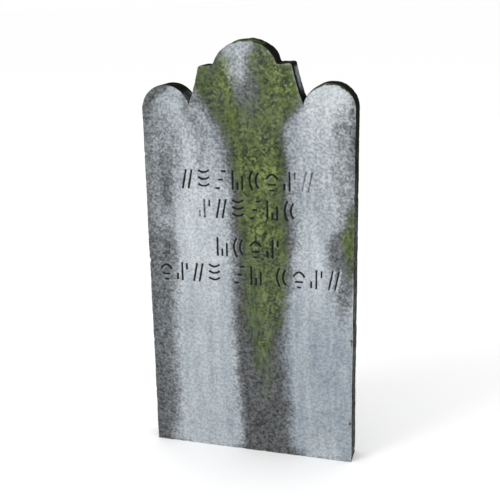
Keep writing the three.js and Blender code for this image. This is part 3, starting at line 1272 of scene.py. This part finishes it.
            # Two chips in three are on the front
            face = -1.0 if number % 3 else 1.0
            x, z = outline.points[pick]
            foot = z == 0.0
            radius = dice.uniform(*self.chip_radius)
            depth = dice.uniform(*self.chip_depth) * (self.foot_chip if foot else 1.0)
            away = -outline.outward[pick]
            inward = np.array([0.0, -face, 1.0] if foot else [away[0], -face, away[1]])
            inward /= np.linalg.norm(inward)
            gap = np.linalg.norm(points - [x, face * self.sizes.thickness / 2, z], axis=1)
            bite = np.clip(1.0 - (gap / radius) ** 2, 0.0, 1.0) * depth
            moved += bite[:, None] * inward
        return moved

    @staticmethod
    def _object(points: np.ndarray, faces: Faces, cover: dict[Growth, np.ndarray]) -> bpy.types.Object:
        """Write the mesh, its densities and its object.

        Args:
            points: The mesh's points in millimetres.
            faces: Its faces.
            cover: Densities by kind of growth.

        Returns:
            The object.
        """
        mesh = bpy.data.meshes.new("headstone_slab")
        mesh.from_pydata((points * METRES).tolist(), [], faces)
        for kind, values in cover.items():
            layer = mesh.attributes.new(kind.value, "FLOAT", "POINT")
            layer.data.foreach_set("value", np.clip(values, 0.0, 1.0).astype(np.float32))
        mesh.shade_smooth()
        mesh.update()
        slab = bpy.data.objects.new("headstone_slab", mesh)
        bpy.context.scene.collection.objects.link(slab)
        return slab

    def dress(self, slab: bpy.types.Object, material: bpy.types.Material) -> None:
        """Give the slab its finish and tie it to the frame.

        Args:
            slab: The slab's object.
            material: Its finish.
        """
        slab.data.materials.append(material)
        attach(slab, BODY)
        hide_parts(NODE)


class Sheet:
    """Short ways to place nodes in one tree and join them."""

    def __init__(self, tree: bpy.types.NodeTree) -> None:
        """Work on this tree."""
        self.tree = tree

    def put(self, kind: str, **settings: object) -> bpy.types.Node:
        """Place a node.

        Args:
            kind: The node's type.
            settings: Its properties by name.

        Returns:
            The node.
        """
        node = self.tree.nodes.new(kind)
        for name, value in settings.items():
            setattr(node, name, value)
        return node

    def feed(self, target: Socket, value: Value) -> None:
        """Join a socket to a target, or set the target's own value.

        Args:
            target: The input.
            value: An output to join, or a plain value.
        """
        if isinstance(value, bpy.types.NodeSocket):
            self.tree.links.new(value, target)
        else:
            target.default_value = value

    def math(self, operation: str, first: Value, second: Value, clamp: bool = False) -> Socket:
        """Do one sum.

        Args:
            operation: The Math node's operation.
            first: First value.
            second: Second value.
            clamp: Whether the result stays between 0 and 1.

        Returns:
            The result.
        """
        node = self.put("ShaderNodeMath", operation=operation, use_clamp=clamp)
        self.feed(node.inputs[0], first)
        self.feed(node.inputs[1], second)
        return node.outputs[0]

    def weigh(self, *parts: tuple[Socket, Value]) -> Socket:
        """Add values up by their weights.

        Args:
            parts: Each value and its weight.

        Returns:
            The sum.
        """
        shares = [self.math("MULTIPLY", value, weight) for value, weight in parts]
        total = shares[0]
        for share in shares[1:]:
            total = self.math("ADD", total, share)
        return total

    def noise(self, where: Socket, scale: Value, detail: float) -> Socket:
        """Place a noise texture.

        Args:
            where: Coordinates.
            scale: Features in a metre.
            detail: How many finer layers it has.

        Returns:
            The noise, about 0.5 in the middle.
        """
        node = self.put("ShaderNodeTexNoise")
        self.feed(node.inputs["Vector"], where)
        self.feed(node.inputs["Scale"], scale)
        node.inputs["Detail"].default_value = detail
        return node.outputs["Fac"]

    def blend(self, factor: Value, first: Value, second: Value, mode: str = "MIX") -> Socket:
        """Blend two colours.

        Args:
            factor: How much of the second.
            first: First colour.
            second: Second colour.
            mode: The way they blend.

        Returns:
            The blended colour.
        """
        node = self.put("ShaderNodeMix", data_type="RGBA", blend_type=mode)
        # The node has a set of sockets for each type, and these are the colours'
        first_colour, second_colour = node.inputs[6:8]
        self.feed(node.inputs["Factor"], factor)
        self.feed(first_colour, first)
        self.feed(second_colour, second)
        return node.outputs[2]

    def remap(
        self, value: Socket, low: Value, high: Value, to_low: float = 0.0, to_high: float = 1.0
    ) -> Socket:
        """Map a range to another with soft ends.

        Args:
            value: The value.
            low: Start of its range.
            high: End of its range.
            to_low: Result at the start.
            to_high: Result at the end.

        Returns:
            The mapped value.
        """
        node = self.put("ShaderNodeMapRange", interpolation_type="SMOOTHSTEP")
        for socket, given in zip(node.inputs, (value, low, high, to_low, to_high)):
            self.feed(socket, given)
        return node.outputs[0]

    def place(self, group: bpy.types.NodeTree, **values: Value) -> Socket:
        """Place a node group with its own values.

        Args:
            group: The group.
            values: Its inputs by name, in small letters and with underscores for spaces.

        Returns:
            Its one output.
        """
        node = self.put("ShaderNodeGroup", node_tree=group)
        for name, value in values.items():
            self.feed(node.inputs[name.replace("_", " ").title()], value)
        return node.outputs[0]


# Where most of a noise texture's values lie
NOISE_SPREAD = (0.3, 0.7)


@dataclass(frozen=True)
class Effects:
    """Shader node groups that the finishes share, each built once."""

    grains: bpy.types.NodeTree
    cover: bpy.types.NodeTree
    runs: bpy.types.NodeTree

    @classmethod
    def build(cls) -> "Effects":
        """Build the groups."""
        grains = cls._grains()
        return cls(grains=grains, cover=cls._cover(grains), runs=cls._runs())

    @staticmethod
    def _start(name: str, *values: str) -> tuple[Sheet, dict[str, Socket], Socket]:
        """Start a group that takes coordinates and plain values and gives one value.

        Args:
            name: Its name, and with a capital the name of its output.
            values: Names of the plain values.

        Returns:
            The sheet, the group's inputs by name and the socket of its output.
        """
        tree = bpy.data.node_groups.new(name, "ShaderNodeTree")
        tree.interface.new_socket("Coordinates", in_out="INPUT", socket_type="NodeSocketVector")
        for label in values:
            tree.interface.new_socket(label, in_out="INPUT", socket_type="NodeSocketFloat")
        tree.interface.new_socket(name.title(), in_out="OUTPUT", socket_type="NodeSocketFloat")
        sheet = Sheet(tree)
        entry = sheet.put("NodeGroupInput")
        leave = sheet.put("NodeGroupOutput")
        given = {label: entry.outputs[label] for label in ("Coordinates", *values)}
        return sheet, given, leave.inputs[0]

    @classmethod
    def _grains(cls) -> bpy.types.NodeTree:
        """Speckle of uneven grains, spread evenly from dark to light.

        Returns:
            The group.
        """
        sheet, given, leave = cls._start("grains", "Per Metre")
        where = given["Coordinates"]
        cells = sheet.put("ShaderNodeTexVoronoi")
        sheet.feed(cells.inputs["Vector"], where)
        sheet.feed(cells.inputs["Scale"], given["Per Metre"])
        split = sheet.put("ShaderNodeSeparateColor")
        sheet.feed(split.inputs[0], cells.outputs["Color"])
        soft = sheet.noise(where, sheet.math("MULTIPLY", given["Per Metre"], 0.75), 1.5)
        even = sheet.remap(soft, *NOISE_SPREAD)
        sheet.feed(leave, sheet.weigh((split.outputs[0], 0.45), (even, 0.55)))
        return sheet.tree

    @classmethod
    def _cover(cls, grains: bpy.types.NodeTree) -> bpy.types.NodeTree:
        """Patchy cover of a growth: where it is thin, only some grains carry it.

        Args:
            grains: The group of grains.

        Returns:
            The group.
        """
        sheet, given, leave = cls._start("cover", "Density", "Per Metre", "Patchiness", "Softness")
        where = given["Coordinates"]
        share = given["Patchiness"]
        soft = given["Softness"]
        fine = sheet.place(grains, coordinates=where, per_metre=given["Per Metre"])
        broad = sheet.noise(where, sheet.math("DIVIDE", given["Per Metre"], 3.2), 3.0)
        patch = sheet.remap(broad, *NOISE_SPREAD)
        joined = sheet.weigh((patch, share), (fine, sheet.math("SUBTRACT", 1.0, share)))
        mixed = sheet.remap(joined, 0.15, 0.85)
        room = sheet.math("SUBTRACT", 1.0, sheet.math("MULTIPLY", soft, 2.0))
        threshold = sheet.math("ADD", soft, sheet.math("MULTIPLY", mixed, room))
        low = sheet.math("SUBTRACT", threshold, soft)
        high = sheet.math("ADD", threshold, soft)
        sheet.feed(leave, sheet.remap(given["Density"], low, high))
        return sheet.tree

    @classmethod
    def _runs(cls) -> bpy.types.NodeTree:
        """Long upright streaks, as rain leaves them.

        Returns:
            The group.
        """
        sheet, given, leave = cls._start("runs", "Per Metre", "Stretch")
        shrink = sheet.put("ShaderNodeCombineXYZ")
        shrink.inputs["X"].default_value = 1.0
        shrink.inputs["Y"].default_value = 1.0
        sheet.feed(shrink.inputs["Z"], sheet.math("DIVIDE", 1.0, given["Stretch"]))
        longer = sheet.put("ShaderNodeVectorMath", operation="MULTIPLY")
        sheet.feed(longer.inputs[0], given["Coordinates"])
        sheet.feed(longer.inputs[1], shrink.outputs[0])
        streak = sheet.noise(longer.outputs[0], given["Per Metre"], 3.0)
        sheet.feed(leave, sheet.remap(streak, 0.25, 0.75))
        return sheet.tree


@dataclass(frozen=True)
class Cover:
    """How a growth's cover breaks up into grains and patches."""

    per_metre: float
    patchiness: float
    softness: float


@dataclass(frozen=True)
class WeatheredMarble:
    """Pale blue-grey marble with algae, moss, crust, and dirt and painted shade in its cuts."""

    dull: Colour = (130, 140, 150)
    pale: Colour = (190, 196, 199)
    algae_dark: Colour = (30, 31, 33)
    algae_light: Colour = (112, 114, 115)
    moss_dark: Colour = (44, 51, 42)
    moss_mid: Colour = (98, 114, 62)
    moss_lime: Colour = (146, 162, 90)
    crust_dark: Colour = (18, 18, 11)
    crust_light: Colour = (84, 81, 72)
    # Dirt and painted shade in the grooves
    dirt: Colour = (36, 37, 36)
    rust: Colour = (98, 75, 58)
    moss_cover: Cover = Cover(240.0, 0.42, 0.4)
    algae_cover: Cover = Cover(260.0, 0.34, 0.38)
    crust_cover: Cover = Cover(220.0, 0.3, 0.3)
    rust_cover: Cover = Cover(300.0, 0.3, 0.25)
    dirt_cover: Cover = Cover(300.0, 0.2, 0.4)
    gloss: float = 0.02
    bare_roughness: float = 0.75
    bump_strength: float = 0.6
    grain_depth: float = 0.0006

    def material(self, effects: Effects) -> bpy.types.Material:
        """Build the finish.

        Args:
            effects: The shared node groups.

        Returns:
            The material.
        """
        made = bpy.data.materials.new("weathered_marble")
        made.use_nodes = True
        made.node_tree.nodes.clear()
        sheet = Sheet(made.node_tree)
        shader = sheet.put("ShaderNodeBsdfPrincipled")
        output = sheet.put("ShaderNodeOutputMaterial")
        sheet.feed(output.inputs["Surface"], shader.outputs[0])
        shader.inputs["Specular IOR Level"].default_value = self.gloss
        paint = Paint(self, effects, sheet)
        moss_cover = paint.cover(Growth.MOSS, self.moss_cover)
        layers = (
            (paint.cover(Growth.ALGAE, self.algae_cover), paint.algae()),
            (paint.cover(Growth.CRUST, self.crust_cover), paint.crust()),
            (moss_cover, paint.moss()),
            (paint.cover(Growth.RUST, self.rust_cover), linear(self.rust)),
            # Dirt and painted shade in the grooves
            (paint.cover(Growth.CUT, self.dirt_cover), linear(self.dirt)),
        )
        colour = paint.stone()
        for share, layer in layers:
            colour = sheet.blend(share, colour, layer)
        growth = sheet.math("MAXIMUM", paint.amount[Growth.CRUST], moss_cover)
        growth = sheet.math("MAXIMUM", paint.amount[Growth.ALGAE], growth)
        sheet.feed(shader.inputs["Base Color"], colour)
        sheet.feed(shader.inputs["Roughness"], sheet.remap(growth, 0.0, 0.7, self.bare_roughness, 1.0))
        sheet.feed(shader.inputs["Normal"], paint.bump(moss_cover))
        return made


class Paint:
    """The marble finish's nodes, laid in one material."""

    def __init__(self, finish: WeatheredMarble, effects: Effects, sheet: Sheet) -> None:
        """Start with the object's coordinates and the densities kept on the mesh.

        Args:
            finish: The colours and covers.
            effects: The shared node groups.
            sheet: The material's tree.
        """
        self.finish = finish
        self.effects = effects
        self.sheet = sheet
        self.where = sheet.put("ShaderNodeTexCoord").outputs["Object"]
        self.amount = {kind: self._density(kind) for kind in Growth}

    def _density(self, kind: Growth) -> Socket:
        """Read one density from the mesh."""
        given = {"attribute_name": kind.value, "attribute_type": "GEOMETRY"}
        return self.sheet.put("ShaderNodeAttribute", **given).outputs["Fac"]

    def grains(self, per_metre: float) -> Socket:
        """Place the speckle of grains."""
        return self.sheet.place(self.effects.grains, coordinates=self.where, per_metre=per_metre)

    def runs(self, per_metre: float, stretch: float) -> Socket:
        """Place the upright streaks."""
        return self.sheet.place(
            self.effects.runs, coordinates=self.where, per_metre=per_metre, stretch=stretch
        )

    def cover(self, kind: Growth, look: Cover) -> Socket:
        """Place the patchy cover of one growth."""
        return self.sheet.place(
            self.effects.cover, coordinates=self.where, density=self.amount[kind], **vars(look)
        )

    def shade(self, colour: Socket, value: Socket) -> Socket:
        """Multiply a colour by a value.

        Args:
            colour: The colour.
            value: The value.

        Returns:
            The shaded colour.
        """
        grey = self.sheet.put("ShaderNodeCombineColor")
        for socket in grey.inputs:
            self.sheet.feed(socket, value)
        return self.sheet.blend(1.0, colour, grey.outputs[0], "MULTIPLY")

    def between(self, tone: Socket, dark: Colour, light: Colour) -> Socket:
        """Blend from a dark colour to a light one."""
        return self.sheet.blend(tone, linear(dark), linear(light))

    def stone(self) -> Socket:
        """Colour the bare stone: dull to pale, mottled, streaked, pitted and finely speckled.

        Returns:
            The colour.
        """
        bleach = self.amount[Growth.BLEACH]
        stray = self.sheet.weigh((self.grains(38.0), 0.16), (self.runs(70.0, 9.0), 0.3))
        # Half of the two weights, so that the stone stays as pale on the whole
        stray = self.sheet.math("SUBTRACT", stray, 0.23)
        tone = self.sheet.math("ADD", bleach, stray, clamp=True)
        stone = self.shade(self.between(tone, self.finish.dull, self.finish.pale), self.pits(bleach))
        return self.shade(stone, self.sheet.remap(self.grains(260.0), 0.1, 0.9, 0.78, 1.12))

    def pits(self, bleach: Socket) -> Socket:
        """Darken a few small pits in the stone, least where it is pale.

        Args:
            bleach: How pale the stone is.

        Returns:
            A multiplier, below 1 in the pits.
        """
        cells = self.sheet.put("ShaderNodeTexVoronoi")
        self.sheet.feed(cells.inputs["Vector"], self.where)
        cells.inputs["Scale"].default_value = 62.0
        dice = self.sheet.put("ShaderNodeSeparateColor")
        self.sheet.feed(dice.inputs[0], cells.outputs["Color"])
        near = self.sheet.remap(cells.outputs["Distance"], 0.14, 0.42, 1.0, 0.0)
        depth = self.sheet.math("MULTIPLY", near, self.sheet.remap(dice.outputs[1], 0.4, 0.85))
        shown = self.sheet.remap(bleach, 0.2, 0.6, 0.62, 0.24)
        return self.sheet.math("SUBTRACT", 1.0, self.sheet.math("MULTIPLY", depth, shown))

    def algae(self) -> Socket:
        """Colour the grey-black algae, speckled and drawn out downwards."""
        tone = self.sheet.weigh((self.grains(245.0), 0.8), (self.runs(110.0, 5.0), 0.2))
        return self.between(tone, self.finish.algae_dark, self.finish.algae_light)

    def crust(self) -> Socket:
        """Colour the dark crust of the edges, blackest where it is thickest.

        Returns:
            The colour.
        """
        thick = self.sheet.math("POWER", self.amount[Growth.CRUST], 4.0)
        bare = self.sheet.math("SUBTRACT", 1.0, thick)
        tone = self.sheet.math("MULTIPLY", self.grains(200.0), bare)
        return self.between(tone, self.finish.crust_dark, self.finish.crust_light)

    def moss(self) -> Socket:
        """Colour the moss, from shaded tufts to lime tips.

        Returns:
            The colour.
        """
        tufts = self.grains(240.0)
        body = self.sheet.weigh((tufts, 0.42), (self.runs(90.0, 4.0), 0.28), (self.grains(95.0), 0.3))
        body = self.sheet.remap(body, 0.12, 0.88)
        green = self.between(body, self.finish.moss_dark, self.finish.moss_mid)
        tips = self.sheet.math("MULTIPLY", self.sheet.remap(tufts, 0.4, 0.9), self.grains(50.0))
        tips = self.sheet.math("MULTIPLY", tips, self.amount[Growth.LIME])
        tips = self.sheet.math("MULTIPLY", tips, 1.3, clamp=True)
        return self.sheet.blend(tips, green, linear(self.finish.moss_lime))

    def bump(self, moss_cover: Socket) -> Socket:
        """Roughen the surface: sugary grain in the stone and tufts in the moss.

        Args:
            moss_cover: Where the moss shows.

        Returns:
            The normal.
        """
        fuzz = self.sheet.math("MULTIPLY", self.grains(350.0), moss_cover)
        height = self.sheet.weigh((self.grains(600.0), 0.3), (self.grains(260.0), 0.4), (fuzz, 1.2))
        bump = self.sheet.put("ShaderNodeBump")
        bump.inputs["Strength"].default_value = self.finish.bump_strength
        bump.inputs["Distance"].default_value = self.finish.grain_depth
        self.sheet.feed(bump.inputs["Height"], height)
        return bump.outputs[0]


@dataclass(frozen=True)
class StudioFloor:
    """A plain pale matt floor."""

    tone: Colour = (254, 254, 254)
    roughness: float = 0.9
    gloss: float = 0.1

    def material(self) -> bpy.types.Material:
        """Build the finish.

        Returns:
            The material.
        """
        made = bpy.data.materials.new("studio_floor")
        made.use_nodes = True
        shader = made.node_tree.nodes["Principled BSDF"]
        shader.inputs["Base Color"].default_value = linear(self.tone)
        shader.inputs["Roughness"].default_value = self.roughness
        shader.inputs["Specular IOR Level"].default_value = self.gloss
        return made


@dataclass
class Studio:
    """The floor, the soft lights and the camera at the photograph's angle."""

    floor_half: float = 400.0
    sky: float = 1.0
    key_place: tuple[float, float, float] = (-2.2, -2.6, 3.2)
    key_aim: tuple[float, float, float] = (0.0, 0.0, 0.45)
    key_size: float = 1.6
    key_power: float = 60.0
    sensor_width: float = 36.0
    focal_px: float = 887.36
    frame_px: float = 500.0
    optical_centre_px: float = 180.0
    yaw: float = 0.34562
    pitch: float = 0.2726
    roll: float = 0.04077
    eye: tuple[float, float, float] = (0.4321, -1.6049, 0.8843)

    def build(self) -> None:
        """Make the floor, lights and camera."""
        self._floor()
        self._lights()
        self._camera()

    def _floor(self) -> None:
        """Lay the floor under the stone."""
        mesh = bpy.data.meshes.new("studio_floor")
        half = self.floor_half
        corners = [(-half, -half, 0.0), (half, -half, 0.0), (half, half, 0.0), (-half, half, 0.0)]
        mesh.from_pydata(corners, [], [(0, 1, 2, 3)])
        mesh.materials.append(StudioFloor().material())
        floor = bpy.data.objects.new("studio_floor", mesh)
        bpy.context.scene.collection.objects.link(floor)

    def _lights(self) -> None:
        """Light the stone softly, a little more from the front left and above."""
        world = bpy.data.worlds.new("studio")
        world.use_nodes = True
        background = world.node_tree.nodes["Background"]
        background.inputs["Color"].default_value = (1.0, 1.0, 1.0, 1.0)
        background.inputs["Strength"].default_value = self.sky
        bpy.context.scene.world = world
        data = bpy.data.lights.new("key_light", "AREA")
        data.size = self.key_size
        data.energy = self.key_power
        lamp = bpy.data.objects.new("key_light", data)
        lamp.location = self.key_place
        aim = Vector(self.key_aim) - lamp.location
        lamp.rotation_mode = "QUATERNION"
        lamp.rotation_quaternion = aim.to_track_quat("-Z", "Y")
        bpy.context.scene.collection.objects.link(lamp)

    def _camera(self) -> None:
        """Set the camera where the photograph was taken from."""
        data = bpy.data.cameras.new("camera")
        data.sensor_width = self.sensor_width
        data.lens = self.focal_px / self.frame_px * data.sensor_width
        data.shift_x = 0.5 - self.optical_centre_px / self.frame_px
        level = Vector((math.cos(self.yaw), math.sin(self.yaw), 0.0))
        flat = Vector((-math.sin(self.yaw), math.cos(self.yaw), 0.0))
        ahead = flat * math.cos(self.pitch) - Vector((0.0, 0.0, math.sin(self.pitch)))
        down = ahead.cross(level)
        right = level * math.cos(self.roll) + down * math.sin(self.roll)
        up = level * math.sin(self.roll) - down * math.cos(self.roll)
        camera = bpy.data.objects.new("camera", data)
        turned = Matrix((right, up, -ahead)).transposed().to_4x4()
        camera.matrix_world = Matrix.Translation(self.eye) @ turned
        bpy.context.scene.collection.objects.link(camera)
        bpy.context.scene.camera = camera


def main() -> None:
    """Build the slab, dress it, and set up the studio."""
    logging.basicConfig(level=logging.INFO, format="%(message)s")
    bpy.context.scene.view_settings.view_transform = "Standard"
    sizes = Sizes.from_frame()
    tablet = Tablet(sizes, Inscription(sizes), Weathering())
    slab = tablet.build()
    tablet.dress(slab, WeatheredMarble().material(Effects.build()))
    mesh = slab.data
    mesh.calc_loop_triangles()
    LOG.info("%s: %d points, %d triangles", slab.name, len(mesh.vertices), len(mesh.loop_triangles))
    Studio().build()


if __name__ == "__main__":
    main()
